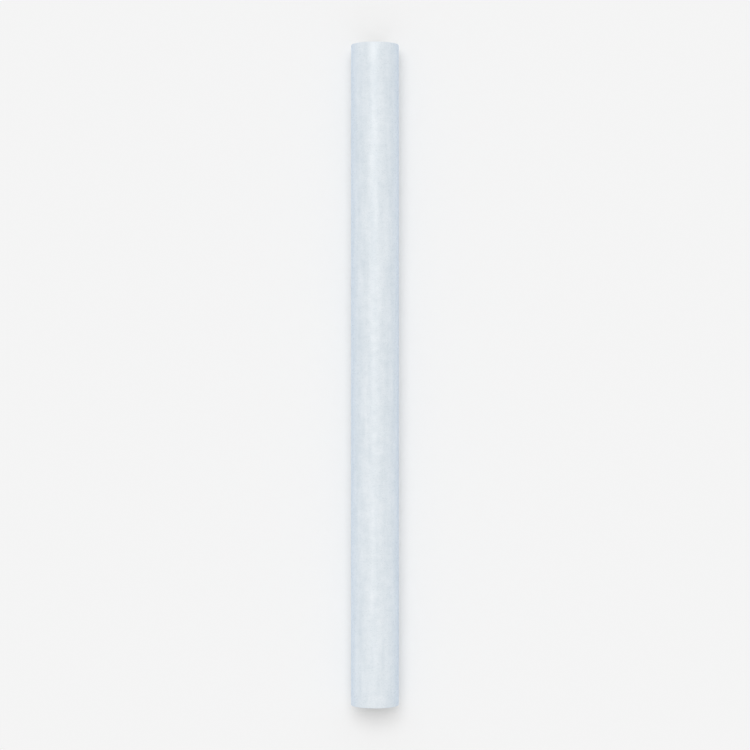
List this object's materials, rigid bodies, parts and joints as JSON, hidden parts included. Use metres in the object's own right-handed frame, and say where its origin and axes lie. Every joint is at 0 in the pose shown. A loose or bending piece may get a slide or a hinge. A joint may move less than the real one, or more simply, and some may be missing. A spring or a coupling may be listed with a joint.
{
  "type": "bicycle spoke reflector",
  "caption": "Slim tubular reflector that snaps over a bicycle spoke: a slotted plastic clip with inward spring jaws, wrapped in silver-white retroreflective film.",
  "frame": {"origin": "on the axis of the spoke seat, halfway along the reflector", "axes": "+Y along the spoke, +Z away from the slot, X across; it lies on the two film edges beside the slot"},
  "size_m": [0.0054, 0.075, 0.005],
  "materials": {
    "clip_plastic": "milky white extruded plastic, satin",
    "reflective_film": "pale silver-white glass-bead retroreflective film, soft gloss"
  },
  "bodies": {
    "root": {"spoke_clip": "clip_plastic", "reflective_film": "reflective_film"}
  },
  "joints": []
}
